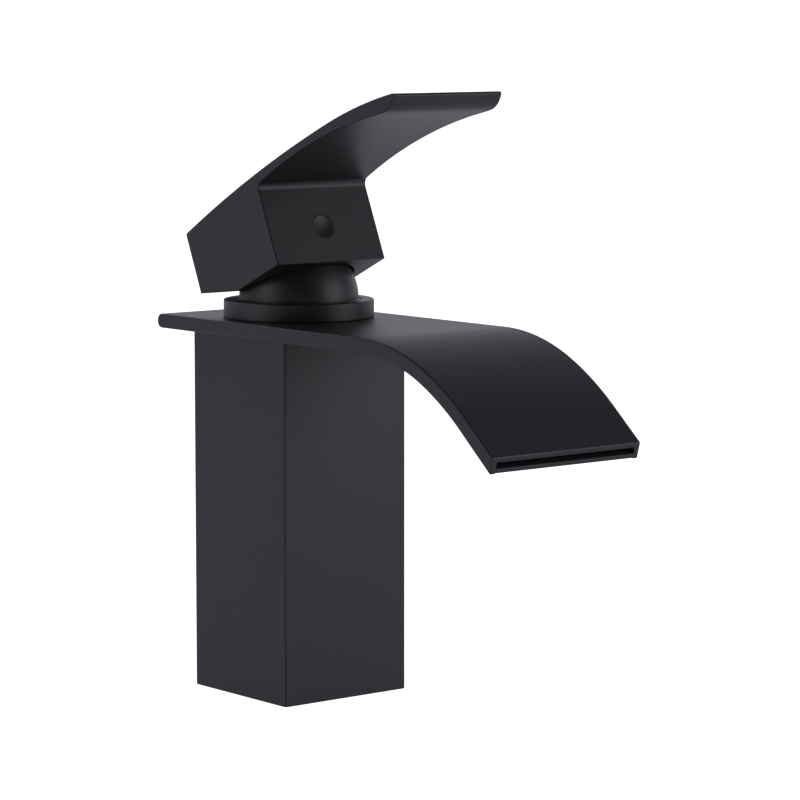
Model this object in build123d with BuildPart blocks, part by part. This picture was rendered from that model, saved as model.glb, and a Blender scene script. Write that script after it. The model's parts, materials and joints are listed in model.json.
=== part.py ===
from build123d import *
from math import cos, radians, sin, tan
import os

# Single-lever basin mixer with a flat waterfall spout.
# Millimetres. +Z is up, the spout points along -Y, and the origin is the
# centre of the column's underside, on the deck.

# Column casing
column_side = 45.0
column_bore = 40.6
column_height = 107.7
column_edge = 0.6
foot_bore = 42.0
foot_step = 6.0

# Spout plate: flat over the column, then falling in two arcs to the tip
plate_width = 54.0
plate_thickness = 4.3
plate_skin = 1.25
plate_side_wall = 2.0
plate_rear = 35.0
plate_rear_wall = 3.0
plate_rear_round = 2.0
plate_edge = 0.5
tip_edge = 0.7
fall_start = 63.0
fall_radius = 63.5
fall_angle = 26.4
run_radius = 90.0
run_angle = 13.9
tip_straight = 14.4
tip_undercut = 24.0
neck_rim_width = 1.4
plate_top = column_height + plate_thickness

# Valve body and its neck
seam_gap = 0.1
valve_side = 40.4
valve_floor = 76.0
chamber_floor = 85.0
chamber_radius = 17.75
chamber_top = 107.9
neck_radius = 20.5
neck_thread_radius = 19.0
neck_top = 114.2
outlet_corner = 16.9
outlet_places = [(-outlet_corner, -outlet_corner), (outlet_corner, -outlet_corner)]
outlet_bore = 1.8
outlet_seal_radius = 2.4
outlet_seal_section = 0.5
gallery_height = 80.0
gallery_bore = 2.6
gallery_cross = 1.6

# Water ways, as places in plan
inlet_x = 7.5
inlet_y = 4.5
inlet_places = [(-inlet_x, inlet_y), (inlet_x, inlet_y)]
outlet_place = (0.0, -8.0)
inlet_way = 3.0
outlet_way = 4.0
port_places = inlet_places + [outlet_place]

# Base block
base_side = 40.4
base_flange_side = 41.8
base_top = 22.0
inlet_thread_radius = 4.5
inlet_thread_depth = 12.0
stud_place = (0.0, -10.0)
stud_thread_radius = 3.4
stud_thread_depth = 15.0
gasket_inner = 18.4
gasket_outer = 20.4
gasket_depth = 1.8

# Inlet tubes and their seals
tube_radius = 4.5
tube_bore = 3.5
tube_socket_depth = 6.0
tube_seal_section = 0.9
tube_seal_inset = 2.4

# Tie screws, M4 socket head
tie_places = [(0.0, 14.0), (-11.5, -8.5), (11.5, -8.5)]
tie_radius = 2.0
tie_clearance = 2.2
tie_head_radius = 3.5
tie_head_low = 0.4
tie_head_high = 4.4
tie_hex = 3.0
tie_hex_depth = 2.2
tie_end = 83.0

# Cartridge, 35 mm size
housing_radius = 17.6
housing_bore = 16.2
housing_foot = 87.5
housing_shoulder = 110.0
housing_roof = 108.0
housing_neck = 14.2
housing_neck_bore = 12.7
housing_neck_top = 124.0
housing_seal_height = 98.0
housing_seal_section = 0.6
base_foot = 85.6
base_plate_radius = 17.4
base_plug_radius = 16.1
port_seal_radius = 4.9
port_seal_section = 1.0
disc_seal_section = 0.8
disc_low = 92.5
disc_thickness = 3.5
fixed_disc_radius = 16.0
moving_disc_radius = 12.8
mix_recess_radius = 8.4
mix_recess_depth = 2.0
carrier_plate = 3.3
carrier_top = 107.6
carrier_length = 12.0
carrier_width = 14.0
carrier_slot = 6.0

# Turret, pin and stem
turret_radius = 12.6
turret_flange_radius = 15.9
turret_foot = 103.4
turret_shoulder = 107.9
turret_top = 125.5
turret_play = 0.1
stem_side = 8.0
stem_play = 0.15
stem_swing = 8.8
stem_top = 28.0
stem_foot = 12.0
stem_foot_radius = 2.9
stem_neck = 3.6
pin_radius = 1.75
pin_play = 0.05
pin_length = 24.0

# Nut, ring and dome
nut_radius = 18.95
nut_bore = 14.5
nut_top = 114.0
nut_slot_width = 4.0
nut_slot_depth = 2.0
ring_radius = 22.4
ring_bore = 20.6
ring_top = 117.3
ring_lip = 1.2
ring_mouth = 18.7
ring_edge = 0.35
pivot_height = 117.4
dome_radius = 17.8
dome_wall = 1.4
dome_opening = 12.0
dome_flange_radius = 20.4
dome_flange_low = 115.2
dome_flange_high = 116.1
dome_bead_radius = 18.4
dome_bead_low = 116.8
washer_inner = 17.2

# Lever handle, measured from the pivot in its lowered stance
open_tilt = 23.5
handle_width = 40.0
block_front = 19.6
block_rear = 20.1
block_level = 4.4
block_kink = 1.8
block_kink_level = 4.0
block_rear_level = 9.75
block_rear_top = 28.83
crown_slope = 7.63
crown_radius = 514.0
crown_sweep = 8.64
brow_radius = 165.0
brow_sweep = 11.1
crease_height = 29.25
blade_slope = 7.52
blade_radius = 175.4
blade_sweep = 20.0
tip_chin = (85.0, 26.0)
crease_round = 2.2
chin_round = 6.0
tip_round = 0.7
corner_round = 1.0
handle_edge = 0.5
pocket_radius = 18.6
socket_play = 0.05
socket_top = 28.4
plug_height = 15.3
plug_radius = 3.8
plug_depth = 3.0
plug_play = 0.05
plug_sink = 0.12
plug_dish_radius = 10.1
plug_dish_depth = 0.65
set_screw_radius = 2.0
set_screw_end = 14.0
set_screw_hex = 2.0
set_screw_hex_depth = 2.5

lever_plane = Plane(
    origin=(0, 0, pivot_height),
    x_dir=(1, 0, 0),
    z_dir=(0, sin(radians(open_tilt)), cos(radians(open_tilt))),
)
side_plane = Plane(
    origin=(0, 0, pivot_height),
    x_dir=(0, -cos(radians(open_tilt)), sin(radians(open_tilt))),
    z_dir=(-1, 0, 0),
)
front_plane = Plane(
    origin=lever_plane.from_local_coords((0, -block_front, plug_height)),
    x_dir=(1, 0, 0),
    z_dir=side_plane.x_dir,
)
slide_now = -stem_foot * sin(radians(open_tilt))
disc_center = (0, slide_now / 2)

os.makedirs("parts", exist_ok=True)


def save(name, piece):
    """Label a finished piece and write its STEP file."""
    piece.label = name
    export_step(piece, f"parts/{name}.step")


def falling_line(depth, rear, beyond=0.0):
    """Draw the plate's side line at a depth below its top, from the rear to the tip."""
    level = plate_top - depth
    flat = Line((rear, level), (-fall_start, level))
    fall_center = Vector(-fall_start, plate_top - fall_radius)
    CenterArc(fall_center, fall_radius - depth, 90, fall_angle)
    end_angle = 90 + fall_angle
    to_run = Vector(cos(radians(end_angle)), sin(radians(end_angle)))
    run_center = fall_center + to_run * (fall_radius - run_radius)
    run = CenterArc(run_center, run_radius - depth, end_angle, run_angle)
    length = tip_straight + depth * tan(radians(tip_undercut)) + beyond
    tip = PolarLine(run @ 1, length, angle=180 + fall_angle + run_angle)
    return flat @ 0, tip @ 1


def plate_strip(high, low, rear, beyond=0.0):
    """Close the side outline of the plate between two depths below its top."""
    high_ends = falling_line(high, rear, beyond)
    low_ends = falling_line(low, rear, beyond)
    Line(high_ends[0], low_ends[0])
    Line(high_ends[1], low_ends[1])


# Column casing: a square tube with a step inside its foot
with BuildPart() as column_casing:
    with BuildSketch(Plane.XY):
        Rectangle(column_side, column_side)
    extrude(amount=column_height)
    fillet(column_casing.edges().filter_by(Axis.Z), radius=column_edge)
    with BuildSketch(Plane.XY):
        Rectangle(column_bore, column_bore)
    extrude(amount=column_height, mode=Mode.SUBTRACT)
    with BuildSketch(Plane.XY):
        Rectangle(foot_bore, foot_bore)
    extrude(amount=foot_step, mode=Mode.SUBTRACT)
save("column_casing", column_casing.part)

# Spout cover: top skin, side walls and rounded rear end
with BuildPart() as spout_cover:
    with BuildSketch(Plane.YZ):
        with BuildLine():
            plate_strip(0, plate_thickness, plate_rear)
        make_face()
    extrude(amount=plate_width / 2, both=True)
    rear_edges = spout_cover.edges().filter_by(Axis.X).group_by(Axis.Y)[-1]
    fillet(rear_edges, radius=plate_rear_round)
    tip_top_edge = spout_cover.edges().filter_by(Axis.X).group_by(Axis.Y)[0]
    fillet(tip_top_edge, radius=tip_edge)
    side_faces = spout_cover.faces().filter_by(Axis.X)
    fillet(side_faces.edges(), radius=plate_edge)
    with BuildSketch(Plane.YZ):
        with BuildLine():
            plate_strip(plate_skin, plate_thickness + 2, plate_rear - plate_rear_wall, 4)
        make_face()
    extrude(amount=plate_width / 2 - plate_side_wall, both=True, mode=Mode.SUBTRACT)
    with BuildSketch(Plane.XY.offset(column_height)):
        Circle(neck_radius + seam_gap)
    extrude(amount=plate_thickness, mode=Mode.SUBTRACT)
save("spout_cover", spout_cover.part)

# Spout floor: the inset lower plate, with a rim that closes the channel round the neck
with BuildPart() as spout_floor:
    with BuildSketch(Plane.YZ):
        with BuildLine():
            floor_rear = plate_rear - plate_rear_wall - seam_gap
            plate_strip(plate_thickness - plate_skin, plate_thickness, floor_rear)
        make_face()
    extrude(amount=plate_width / 2 - plate_side_wall - seam_gap, both=True)
    with BuildSketch(Plane.XY.offset(column_height)):
        Circle(neck_radius + seam_gap + neck_rim_width)
    extrude(amount=plate_thickness - plate_skin)
    with BuildSketch(Plane.XY.offset(column_height)):
        Circle(neck_radius + seam_gap)
        with Locations(outlet_places):
            Circle(outlet_bore)
    extrude(amount=plate_thickness, mode=Mode.SUBTRACT)
save("spout_floor", spout_floor.part)

# Valve body: square brass block with the cartridge chamber, water ways and a threaded neck
with BuildPart() as valve_body:
    with BuildSketch(Plane.XY.offset(valve_floor)):
        Rectangle(valve_side, valve_side)
    extrude(amount=column_height - valve_floor)
    with BuildSketch(Plane.XY.offset(column_height)):
        Circle(neck_radius)
    extrude(amount=neck_top - column_height)
    with BuildSketch(Plane.XY.offset(chamber_floor)):
        Circle(chamber_radius)
    extrude(amount=neck_top - chamber_floor, mode=Mode.SUBTRACT)
    with BuildSketch(Plane.XY.offset(chamber_top)):
        Circle(neck_thread_radius)
    extrude(amount=neck_top - chamber_top, mode=Mode.SUBTRACT)
    # inlet ways, with a socket below for each tube
    with BuildSketch(Plane.XY.offset(valve_floor)):
        with Locations(inlet_places):
            Circle(inlet_way)
    extrude(amount=chamber_floor - valve_floor, mode=Mode.SUBTRACT)
    with BuildSketch(Plane.XY.offset(valve_floor)):
        with Locations(inlet_places):
            Circle(tube_radius + seam_gap)
    extrude(amount=tube_socket_depth, mode=Mode.SUBTRACT)
    with Locations([(x, y, valve_floor + tube_seal_inset) for x, y in inlet_places]):
        Torus(tube_radius + tube_seal_section, tube_seal_section, mode=Mode.SUBTRACT)
    # outlet way down to the gallery, and from it up the two front corners
    with BuildSketch(Plane.XY.offset(gallery_height)):
        with Locations(outlet_place):
            Circle(outlet_way)
    extrude(amount=chamber_floor - gallery_height, mode=Mode.SUBTRACT)
    with BuildSketch(Plane.XZ.offset(-outlet_place[1])):
        with Locations((0, gallery_height)):
            Circle(gallery_bore)
    extrude(amount=outlet_corner + outlet_place[1], mode=Mode.SUBTRACT)
    with BuildSketch(Plane.YZ):
        with Locations((-outlet_corner, gallery_height)):
            Circle(gallery_cross)
    extrude(amount=outlet_corner, both=True, mode=Mode.SUBTRACT)
    with BuildSketch(Plane.XY.offset(gallery_height - gallery_bore)):
        with Locations(outlet_places):
            Circle(outlet_bore)
    extrude(amount=column_height - gallery_height + gallery_bore, mode=Mode.SUBTRACT)
    outlet_level = column_height - 2 * outlet_seal_section
    with BuildSketch(Plane.XY.offset(outlet_level)):
        with Locations(outlet_places):
            Circle(outlet_seal_radius + outlet_seal_section)
            Circle(outlet_seal_radius - outlet_seal_section, mode=Mode.SUBTRACT)
    extrude(amount=2 * outlet_seal_section, mode=Mode.SUBTRACT)
    with BuildSketch(Plane.XY.offset(valve_floor)):
        with Locations(tie_places):
            Circle(tie_radius)
    extrude(amount=tie_end - valve_floor, mode=Mode.SUBTRACT)
save("valve_body", valve_body.part)

# Outlet port seals between the valve body's front corners and the spout floor
with BuildPart() as outlet_port_seals:
    with Locations([(x, y, outlet_level + outlet_seal_section) for x, y in outlet_places]):
        Torus(outlet_seal_radius, outlet_seal_section)
save("outlet_port_seals", outlet_port_seals.part)

# Base block: flange and plug in the column's foot, with the threads that face the deck
with BuildPart() as base_block:
    with BuildSketch(Plane.XY):
        Rectangle(base_flange_side, base_flange_side)
    extrude(amount=foot_step)
    with BuildSketch(Plane.XY.offset(foot_step)):
        Rectangle(base_side, base_side)
    extrude(amount=base_top - foot_step)
    with BuildSketch(Plane.XY):
        Circle(gasket_outer)
        Circle(gasket_inner, mode=Mode.SUBTRACT)
    extrude(amount=gasket_depth, mode=Mode.SUBTRACT)
    with BuildSketch(Plane.XY):
        with Locations(inlet_places):
            Circle(inlet_thread_radius)
    extrude(amount=inlet_thread_depth, mode=Mode.SUBTRACT)
    with BuildSketch(Plane.XY):
        with Locations(inlet_places):
            Circle(inlet_way)
    extrude(amount=base_top, mode=Mode.SUBTRACT)
    with BuildSketch(Plane.XY.offset(base_top - tube_socket_depth)):
        with Locations(inlet_places):
            Circle(tube_radius + seam_gap)
    extrude(amount=tube_socket_depth, mode=Mode.SUBTRACT)
    with Locations([(x, y, base_top - tube_seal_inset) for x, y in inlet_places]):
        Torus(tube_radius + tube_seal_section, tube_seal_section, mode=Mode.SUBTRACT)
    with BuildSketch(Plane.XY):
        with Locations(stud_place):
            Circle(stud_thread_radius)
    extrude(amount=stud_thread_depth, mode=Mode.SUBTRACT)
    with BuildSketch(Plane.XY):
        with Locations(tie_places):
            Circle(tie_clearance)
    extrude(amount=base_top, mode=Mode.SUBTRACT)
    with BuildSketch(Plane.XY):
        with Locations(tie_places):
            Circle(tie_head_radius + seam_gap)
    extrude(amount=tie_head_high, mode=Mode.SUBTRACT)
save("base_block", base_block.part)

# Deck gasket in the base block's groove
with BuildPart() as deck_gasket:
    with BuildSketch(Plane.XY):
        Circle(gasket_outer)
        Circle(gasket_inner, mode=Mode.SUBTRACT)
    extrude(amount=gasket_depth)
save("deck_gasket", deck_gasket.part)

# Tie screws from the base block up into the valve body
with BuildPart() as tie_screws:
    with BuildSketch(Plane.XY.offset(tie_head_low)):
        with Locations(tie_places):
            Circle(tie_head_radius)
    extrude(amount=tie_head_high - tie_head_low)
    with BuildSketch(Plane.XY.offset(tie_head_high)):
        with Locations(tie_places):
            Circle(tie_radius)
    extrude(amount=tie_end - tie_head_high)
    with BuildSketch(Plane.XY.offset(tie_head_low)):
        with Locations(tie_places):
            RegularPolygon(tie_hex / 2, 6, major_radius=False)
    extrude(amount=tie_hex_depth, mode=Mode.SUBTRACT)
save("tie_screws", tie_screws.part)

# Inlet tubes, cold on the right and hot on the left as seen from the front
tube_foot = base_top - tube_socket_depth
tube_length = valve_floor + tube_socket_depth - tube_foot
for tube_name, tube_place in zip(("hot_inlet_tube", "cold_inlet_tube"), inlet_places):
    with BuildPart() as inlet_tube:
        with BuildSketch(Plane.XY.offset(tube_foot)):
            with Locations(tube_place):
                Circle(tube_radius)
                Circle(tube_bore, mode=Mode.SUBTRACT)
        extrude(amount=tube_length)
    save(tube_name, inlet_tube.part)

# Inlet tube seals: an O-ring in each tube socket
with BuildPart() as inlet_tube_seals:
    for seal_level in (base_top - tube_seal_inset, valve_floor + tube_seal_inset):
        with Locations([(x, y, seal_level) for x, y in inlet_places]):
            Torus(tube_radius + tube_seal_section, tube_seal_section)
save("inlet_tube_seals", inlet_tube_seals.part)

# Cartridge housing: a cup turned mouth down, with a neck for the turret
with BuildPart() as cartridge_housing:
    with BuildSketch(Plane.XY.offset(housing_foot)):
        Circle(housing_radius)
    extrude(amount=housing_shoulder - housing_foot)
    with BuildSketch(Plane.XY.offset(housing_shoulder)):
        Circle(housing_neck)
    extrude(amount=housing_neck_top - housing_shoulder)
    with BuildSketch(Plane.XY.offset(housing_foot)):
        Circle(housing_bore)
    extrude(amount=housing_roof - housing_foot, mode=Mode.SUBTRACT)
    with BuildSketch(Plane.XY.offset(housing_roof)):
        Circle(housing_neck_bore)
    extrude(amount=housing_neck_top - housing_roof, mode=Mode.SUBTRACT)
    with Locations((0, 0, housing_seal_height)):
        Torus(chamber_radius - housing_seal_section, housing_seal_section, mode=Mode.SUBTRACT)
save("cartridge_housing", cartridge_housing.part)

# Housing seal: an O-ring between housing and chamber wall
with BuildPart() as housing_seal:
    with Locations((0, 0, housing_seal_height)):
        Torus(chamber_radius - housing_seal_section, housing_seal_section)
save("housing_seal", housing_seal.part)

# Cartridge base: a stepped plate with three ports and a seal groove round each, below and above
with BuildPart() as cartridge_base:
    with BuildSketch(Plane.XY.offset(base_foot)):
        Circle(base_plate_radius)
    extrude(amount=housing_foot - base_foot)
    with BuildSketch(Plane.XY.offset(housing_foot)):
        Circle(base_plug_radius)
    extrude(amount=disc_low - housing_foot)
    with BuildSketch(Plane.XY.offset(base_foot)):
        with Locations(port_places):
            Circle(inlet_way)
    extrude(amount=disc_low - base_foot, mode=Mode.SUBTRACT)
    with BuildSketch(Plane.XY.offset(chamber_floor)):
        with Locations(port_places):
            Circle(port_seal_radius + port_seal_section)
            Circle(port_seal_radius - port_seal_section, mode=Mode.SUBTRACT)
    extrude(amount=2 * port_seal_section, mode=Mode.SUBTRACT)
    with BuildSketch(Plane.XY.offset(disc_low - 2 * disc_seal_section)):
        with Locations(port_places):
            Circle(port_seal_radius + disc_seal_section)
            Circle(port_seal_radius - disc_seal_section, mode=Mode.SUBTRACT)
    extrude(amount=2 * disc_seal_section, mode=Mode.SUBTRACT)
save("cartridge_base", cartridge_base.part)

# Port seals under the cartridge base, and disc seals above it
with BuildPart() as port_seals:
    with Locations([(x, y, chamber_floor + port_seal_section) for x, y in port_places]):
        Torus(port_seal_radius, port_seal_section)
save("port_seals", port_seals.part)

with BuildPart() as disc_seals:
    with Locations([(x, y, disc_low - disc_seal_section) for x, y in port_places]):
        Torus(port_seal_radius, disc_seal_section)
save("disc_seals", disc_seals.part)

# Fixed ceramic disc with its three ports
with BuildPart() as fixed_disc:
    with BuildSketch(Plane.XY.offset(disc_low)):
        Circle(fixed_disc_radius)
        with Locations(port_places):
            Circle(inlet_way, mode=Mode.SUBTRACT)
    extrude(amount=disc_thickness)
save("fixed_disc", fixed_disc.part)

# Moving ceramic disc with the mixing recess underneath
moving_disc_low = disc_low + disc_thickness
with BuildPart() as moving_disc:
    with BuildSketch(Plane.XY.offset(moving_disc_low)):
        with Locations(disc_center):
            Circle(moving_disc_radius)
    extrude(amount=disc_thickness)
    with BuildSketch(Plane.XY.offset(moving_disc_low)):
        with Locations(disc_center):
            Circle(mix_recess_radius)
    extrude(amount=mix_recess_depth, mode=Mode.SUBTRACT)
save("moving_disc", moving_disc.part)

# Disc carrier: a round plate on the moving disc, with a slotted block for the stem's foot
carrier_low = moving_disc_low + disc_thickness
with BuildPart() as disc_carrier:
    with BuildSketch(Plane.XY.offset(carrier_low)):
        with Locations(disc_center):
            Circle(moving_disc_radius)
    extrude(amount=carrier_plate)
    with BuildSketch(Plane.XY.offset(carrier_low + carrier_plate)):
        with Locations((0, slide_now)):
            Rectangle(carrier_width, carrier_length)
    extrude(amount=carrier_top - carrier_low - carrier_plate)
    with BuildSketch(Plane.XY.offset(carrier_low + carrier_plate / 2)):
        with Locations((0, slide_now)):
            Rectangle(carrier_width, carrier_slot)
    extrude(amount=carrier_top - carrier_low, mode=Mode.SUBTRACT)
save("disc_carrier", disc_carrier.part)

# Turret: turns in the housing neck, carries the pivot pin and guides the carrier
with BuildPart() as turret:
    with BuildSketch(Plane.XY.offset(turret_foot)):
        Circle(turret_flange_radius)
    extrude(amount=turret_shoulder - turret_foot)
    with BuildSketch(Plane.XY.offset(turret_shoulder)):
        Circle(turret_radius)
    extrude(amount=turret_top - turret_shoulder)
    with BuildSketch(Plane.XY.offset(turret_foot)):
        with Locations((0, slide_now / 2)):
            Rectangle(carrier_width + 2 * turret_play, carrier_length - slide_now + 4 * turret_play)
    extrude(amount=carrier_top + 4 * turret_play - turret_foot, mode=Mode.SUBTRACT)
    with BuildSketch(Plane.XY.offset(turret_foot)):
        Rectangle(stem_side + 2 * stem_play, 2 * stem_swing)
    extrude(amount=turret_top - turret_foot, mode=Mode.SUBTRACT)
    with BuildSketch(Plane.YZ):
        with Locations((0, pivot_height)):
            Circle(pin_radius)
    extrude(amount=turret_radius, both=True, mode=Mode.SUBTRACT)
save("turret", turret.part)

# Pivot pin across the turret
with BuildPart() as pivot_pin:
    with BuildSketch(Plane.YZ):
        with Locations((0, pivot_height)):
            Circle(pin_radius)
    extrude(amount=pin_length / 2, both=True)
save("pivot_pin", pivot_pin.part)

# Stem: square bar with a pin hole and a round foot for the carrier's slot
with BuildPart() as stem:
    with BuildSketch(lever_plane.offset(-stem_foot)):
        Rectangle(stem_side, stem_neck)
    extrude(amount=stem_foot)
    with BuildSketch(lever_plane.offset(-stem_foot / 2)):
        Rectangle(stem_side, stem_side)
    extrude(amount=stem_foot / 2 + stem_top)
    chamfer(stem.faces().sort_by(Axis.Z)[-1].edges(), length=0.6)
    with BuildSketch(side_plane):
        with Locations((0, -stem_foot)):
            Circle(stem_foot_radius)
    extrude(amount=stem_side / 2, both=True)
    with BuildSketch(side_plane):
        Circle(pin_radius + pin_play)
    extrude(amount=stem_side, both=True, mode=Mode.SUBTRACT)
save("stem", stem.part)

# Cartridge nut in the neck's thread, with four spanner slots
with BuildPart() as cartridge_nut:
    with BuildSketch(Plane.XY.offset(housing_shoulder)):
        Circle(nut_radius)
        Circle(nut_bore, mode=Mode.SUBTRACT)
    extrude(amount=nut_top - housing_shoulder)
    with BuildSketch(Plane.XY.offset(nut_top - nut_slot_depth)):
        for slot_turn in (0, 90):
            Rectangle(2 * nut_radius, nut_slot_width, rotation=slot_turn)
    extrude(amount=nut_slot_depth, mode=Mode.SUBTRACT)
save("cartridge_nut", cartridge_nut.part)

# Dome washer between the neck's top and the dome's flange
with BuildPart() as dome_washer:
    with BuildSketch(Plane.XY.offset(neck_top)):
        Circle(dome_flange_radius)
        Circle(washer_inner, mode=Mode.SUBTRACT)
    extrude(amount=dome_flange_low - neck_top)
save("dome_washer", dome_washer.part)

# Dome cap: a ball-shaped shell centred on the lever's pivot, with a skirt and a flange
with BuildPart() as dome_cap:
    with Locations((0, 0, pivot_height)):
        Sphere(dome_radius)
    with BuildSketch(Plane.XY.offset(dome_flange_high)):
        Rectangle(4 * dome_radius, 4 * dome_radius)
    extrude(amount=-2 * dome_radius, mode=Mode.SUBTRACT)
    with BuildSketch(Plane.XY.offset(dome_flange_high)):
        Circle(dome_radius)
    extrude(amount=pivot_height - dome_flange_high)
    with BuildSketch(Plane.XY.offset(dome_bead_low)):
        Circle(dome_bead_radius)
    extrude(amount=pivot_height - dome_bead_low)
    with BuildSketch(Plane.XY.offset(dome_flange_low)):
        Circle(dome_flange_radius)
    extrude(amount=dome_flange_high - dome_flange_low)
    with Locations((0, 0, pivot_height)):
        Sphere(dome_radius - dome_wall, mode=Mode.SUBTRACT)
    with BuildSketch(Plane.XY.offset(dome_flange_low)):
        Circle(dome_radius - dome_wall)
    extrude(amount=pivot_height - dome_flange_low, mode=Mode.SUBTRACT)
    with BuildSketch(Plane.XY.offset(pivot_height)):
        Circle(dome_opening)
    extrude(amount=dome_radius, mode=Mode.SUBTRACT)
save("dome_cap", dome_cap.part)

# Collar ring: screws on the neck, clamps the plate and holds the dome's flange
with BuildPart() as collar_ring:
    with BuildSketch(Plane.XY.offset(plate_top)):
        Circle(ring_radius)
    extrude(amount=ring_top - plate_top)
    rim_edges = collar_ring.edges().filter_by(GeomType.CIRCLE)
    fillet(rim_edges, radius=ring_edge)
    with BuildSketch(Plane.XY.offset(plate_top)):
        Circle(ring_bore)
    extrude(amount=ring_top - ring_lip - plate_top, mode=Mode.SUBTRACT)
    with BuildSketch(Plane.XY.offset(plate_top)):
        Circle(ring_mouth)
    extrude(amount=ring_top - plate_top, mode=Mode.SUBTRACT)
save("collar_ring", collar_ring.part)

# Lever handle: square block with a long blade, hollowed to clear the dome
front_low = (block_front, block_level)
kink = (-block_kink, block_kink_level)
rear_low = (-block_rear, block_rear_level)
rear_high = Vector(-block_rear, block_rear_top)
crease = Vector(block_front, crease_height)
with BuildPart() as lever_handle:
    with BuildSketch(side_plane) as handle_side:
        with BuildLine():
            crown_turn = radians(90 + crown_slope)
            crown_center = rear_high - Vector(cos(crown_turn), sin(crown_turn)) * crown_radius
            crown = CenterArc(crown_center, crown_radius, 90 + crown_slope, -crown_sweep)
            brow_turn = 90 + crown_slope - crown_sweep
            to_brow = Vector(cos(radians(brow_turn)), sin(radians(brow_turn)))
            brow_center = crown_center + to_brow * (crown_radius - brow_radius)
            brow = CenterArc(brow_center, brow_radius, brow_turn, -brow_sweep)
            blade_turn = radians(90 + blade_slope)
            blade_center = crease - Vector(cos(blade_turn), sin(blade_turn)) * blade_radius
            blade = CenterArc(blade_center, blade_radius, 90 + blade_slope, -blade_sweep)
            Polyline(brow @ 1, tip_chin, blade @ 1)
            Polyline(blade @ 0, front_low, kink, rear_low, crown @ 0)
        make_face()
        tip_corner = brow @ 1
        fillet(handle_side.vertices().sort_by_distance(tip_corner)[0], radius=tip_round)
        fillet(handle_side.vertices().sort_by_distance(crease)[0], radius=crease_round)
        fillet(handle_side.vertices().sort_by_distance(tip_chin)[0], radius=chin_round)
        fillet(handle_side.vertices().sort_by_distance(rear_high)[0], radius=corner_round)
    extrude(amount=handle_width / 2, both=True)
    fillet(lever_handle.faces().filter_by(Axis.X).edges(), radius=handle_edge)
    with Locations((0, 0, pivot_height)):
        Sphere(pocket_radius, mode=Mode.SUBTRACT)
    with BuildSketch(lever_plane):
        Rectangle(stem_side + 2 * socket_play, stem_side + 2 * socket_play)
    extrude(amount=socket_top, mode=Mode.SUBTRACT)
    with BuildSketch(front_plane):
        Circle(plug_radius + plug_play)
    extrude(amount=-plug_depth, mode=Mode.SUBTRACT)
    with BuildSketch(front_plane):
        Circle(set_screw_radius)
    extrude(amount=-block_front, mode=Mode.SUBTRACT)
save("lever_handle", lever_handle.part)

# Lever set screw: clamps the stem in the handle
with BuildPart() as lever_set_screw:
    with BuildSketch(front_plane.offset(stem_side / 2 - block_front)):
        Circle(set_screw_radius)
    extrude(amount=set_screw_end - stem_side / 2)
    with BuildSketch(front_plane.offset(set_screw_end - block_front)):
        RegularPolygon(set_screw_hex / 2, 6, major_radius=False)
    extrude(amount=-set_screw_hex_depth, mode=Mode.SUBTRACT)
save("lever_set_screw", lever_set_screw.part)

# Index plug: a round cap with a dished face over the set screw
with BuildPart() as index_plug:
    with BuildSketch(front_plane.offset(-plug_depth)):
        Circle(plug_radius)
    extrude(amount=plug_depth - plug_sink)
    dish_center = front_plane.offset(plug_dish_radius - plug_sink - plug_dish_depth).origin
    with Locations(dish_center):
        Sphere(plug_dish_radius, mode=Mode.SUBTRACT)
save("index_plug", index_plug.part)
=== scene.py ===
"""Looks of a single-lever waterfall basin mixer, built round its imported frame.

Every length is in metres, +Z is up and the spout points along -Y.  Sizes of the
new pieces are named in millimetres beside the class that makes them.
"""

import json
import logging
import math
from dataclasses import dataclass
from enum import Enum

import bmesh
import bpy
from mathutils import Matrix, Vector


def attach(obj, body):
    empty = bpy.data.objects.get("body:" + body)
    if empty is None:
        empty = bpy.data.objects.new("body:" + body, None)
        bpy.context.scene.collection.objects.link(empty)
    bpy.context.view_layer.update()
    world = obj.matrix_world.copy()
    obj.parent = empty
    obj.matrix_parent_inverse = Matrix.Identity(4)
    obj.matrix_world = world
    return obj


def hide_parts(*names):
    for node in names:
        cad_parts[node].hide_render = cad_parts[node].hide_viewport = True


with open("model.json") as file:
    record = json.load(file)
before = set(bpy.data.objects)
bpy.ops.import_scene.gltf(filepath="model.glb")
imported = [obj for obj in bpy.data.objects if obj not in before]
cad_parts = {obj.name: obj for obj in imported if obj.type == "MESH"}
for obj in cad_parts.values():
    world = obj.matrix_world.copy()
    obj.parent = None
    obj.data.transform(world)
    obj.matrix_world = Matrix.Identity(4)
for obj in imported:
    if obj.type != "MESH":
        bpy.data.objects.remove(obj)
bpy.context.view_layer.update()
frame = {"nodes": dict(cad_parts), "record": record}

MM = 0.001
WELD = 1e-7  # metres between points that are one point
SEALED = 0.02  # millimetres by which two fixed plates pass into each other at a seam
QUARTER = math.pi / 2
FORWARD = Matrix.Rotation(QUARTER, 4, "X")
LOG = logging.getLogger("basin_mixer")
Point = tuple[float, float]
Triple = tuple[float, float, float]
Piece = bpy.types.Object
Node = bpy.types.Node
Socket = bpy.types.NodeSocket


# --------------------------------------------------------------- small tools


def arc(center: Point, radius: float, start: float, sweep: float, steps: int) -> list[Point]:
    """Points along a round stretch of an outline.

    Args:
        center: The middle of the round.
        radius: Its radius.
        start: The angle of the first point, in degrees.
        sweep: How far it turns, in degrees, positive against the clock.
        steps: How many chords it has.

    Returns:
        The points from the first to the last, both included.
    """
    turns = [math.radians(start + sweep * i / steps) for i in range(steps + 1)]
    return [(center[0] + radius * math.cos(a), center[1] + radius * math.sin(a)) for a in turns]


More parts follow.
